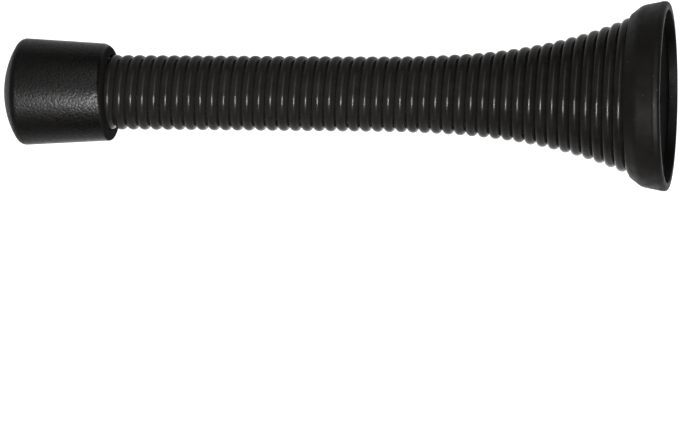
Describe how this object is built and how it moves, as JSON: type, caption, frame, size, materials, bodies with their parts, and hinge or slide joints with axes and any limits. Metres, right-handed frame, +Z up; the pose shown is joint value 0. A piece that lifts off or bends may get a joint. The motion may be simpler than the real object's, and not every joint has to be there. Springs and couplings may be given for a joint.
{
  "type": "spring door stop",
  "caption": "Wall-mounted spring door stop: close-wound black wire spring, flared into a cup-shaped base, with a domed rubber tip.",
  "frame": {"origin": "centre of the base's back rim, in the plane of the wall and on the axis of the screw hole", "axes": "+X out from the wall along the spring to the rubber tip, +Z up, +Y to the left of someone who looks along +X"},
  "size_m": [0.0825, 0.023, 0.023],
  "materials": {
    "black_rubber": "matt, faintly grained",
    "black_wire": "semi-gloss black",
    "black_plastic": "satin black"
  },
  "bodies": {
    "root": {"rubber_tip": "black_rubber", "coil_spring": "black_wire", "base_cup": "black_plastic"}
  },
  "joints": []
}
